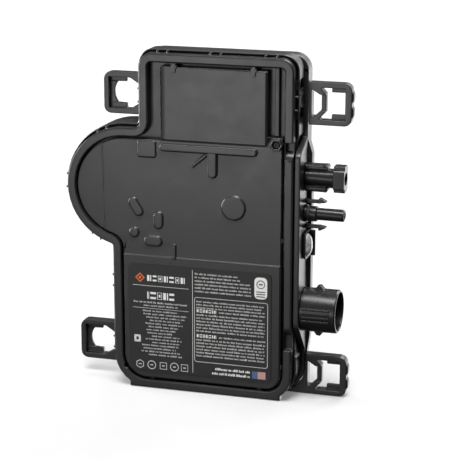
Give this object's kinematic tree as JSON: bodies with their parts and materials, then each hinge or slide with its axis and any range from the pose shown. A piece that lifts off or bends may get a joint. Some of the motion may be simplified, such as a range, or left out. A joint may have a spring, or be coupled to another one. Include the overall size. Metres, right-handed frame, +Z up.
{
  "type": "micro inverter",
  "caption": "Slim sealed case with a round bulge, mounting ears with windows, DC socket and plug, round AC connector, status light and label.",
  "frame": {"origin": "middle of the bounding box's underside: the unit stands on its foot strip at Z = 0", "axes": "+Z up along the case's long side, +X towards the connectors, -Y towards the label side"},
  "size_m": [0.1758, 0.0302, 0.212],
  "materials": {
    "case_plastic": "finely textured black moulded plastic",
    "connector_plastic": "smooth black moulded plastic with a faint sheen",
    "label_film": "printed black film with a semi-gloss surface",
    "seal_rubber": "black sealing rubber",
    "plated_contact": "tin-plated contact metal",
    "clear_lens": "smoky clear light guide",
    "circuit_board": "green solder mask",
    "ferrite": "dull grey ferrite",
    "copper": "enamelled copper wire",
    "bobbin_plastic": "black moulded insulator",
    "capacitor_plastic": "yellow moulded case",
    "chip_plastic": "black moulded package",
    "aluminium": "mill-finish sheet",
    "potting": "cured black potting compound",
    "thermal_pad": "soft blue-grey gap filler",
    "steel": "zinc-plated steel",
    "black_steel": "black oxide steel",
    "varistor_coat": "blue epoxy coat"
  },
  "bodies": {
    "root": {"ac_connector_insert": "bobbin_plastic", "ac_connector_shell": "connector_plastic", "ac_output_choke_core": "ferrite", "ac_output_choke_winding": "copper", "ac_pin_line_1": "plated_contact", "ac_pin_line_2": "plated_contact", "ac_pin_neutral": "plated_contact", "ac_power_transistor_1": "chip_plastic", "ac_power_transistor_2": "chip_plastic", "ac_sealing_ring": "seal_rubber", "ac_thermal_pad": "thermal_pad", "board_screw_1": "steel", "board_screw_2": "steel", "board_screw_3": "steel", "board_screw_4": "steel", "circuit_board": "circuit_board", "controller_chip": "chip_plastic", "cover_screw": "black_steel", "dc_input_choke_core": "ferrite", "dc_input_choke_winding": "copper", "dc_plug_body": "connector_plastic", "dc_plug_contact": "plated_contact", "dc_plug_seal": "seal_rubber", "dc_power_transistor_1": "chip_plastic", "dc_power_transistor_2": "chip_plastic", "dc_socket_body": "connector_plastic", "dc_socket_contact": "plated_contact", "dc_thermal_pad": "thermal_pad", "ear_lower_left": "case_plastic", "ear_lower_right": "case_plastic", "ear_upper_left": "case_plastic", "ear_upper_right": "case_plastic", "film_capacitor_1": "capacitor_plastic", "film_capacitor_2": "capacitor_plastic", "front_cover": "case_plastic", "front_frame": "case_plastic", "grid_relay_1": "chip_plastic", "grid_relay_2": "chip_plastic", "heat_spreader": "aluminium", "housing_seal": "seal_rubber", "input_capacitor_1": "capacitor_plastic", "input_capacitor_2": "capacitor_plastic", "middle_housing": "case_plastic", "output_fuse": "bobbin_plastic", "potting_compound": "potting", "rating_label": "label_film", "rear_housing": "case_plastic", "status_light_bracket": "connector_plastic", "status_light_lens": "clear_lens", "surge_varistor": "varistor_coat", "transformer_bobbin": "bobbin_plastic", "transformer_core_front": "ferrite", "transformer_core_rear": "ferrite", "transformer_primary_winding": "copper", "transformer_secondary_winding": "copper"},
    "upper_latch": {"dc_latch_arm_upper": "connector_plastic"},
    "lower_latch": {"dc_latch_arm_lower": "connector_plastic"}
  },
  "joints": [
    {"name": "upper_latch_flex", "type": "hinge", "parent": "root", "child": "upper_latch", "pos_m": [0.06105, 0.0012, 0.1236], "axis": [0, 1, 0], "range_deg": [0, 7], "stiffness_Nm_per_rad": 0.6},
    {"name": "lower_latch_flex", "type": "hinge", "parent": "root", "child": "lower_latch", "pos_m": [0.06105, 0.0012, 0.1082], "axis": [0, -1, 0], "range_deg": [0, 7], "stiffness_Nm_per_rad": 0.6}
  ]
}
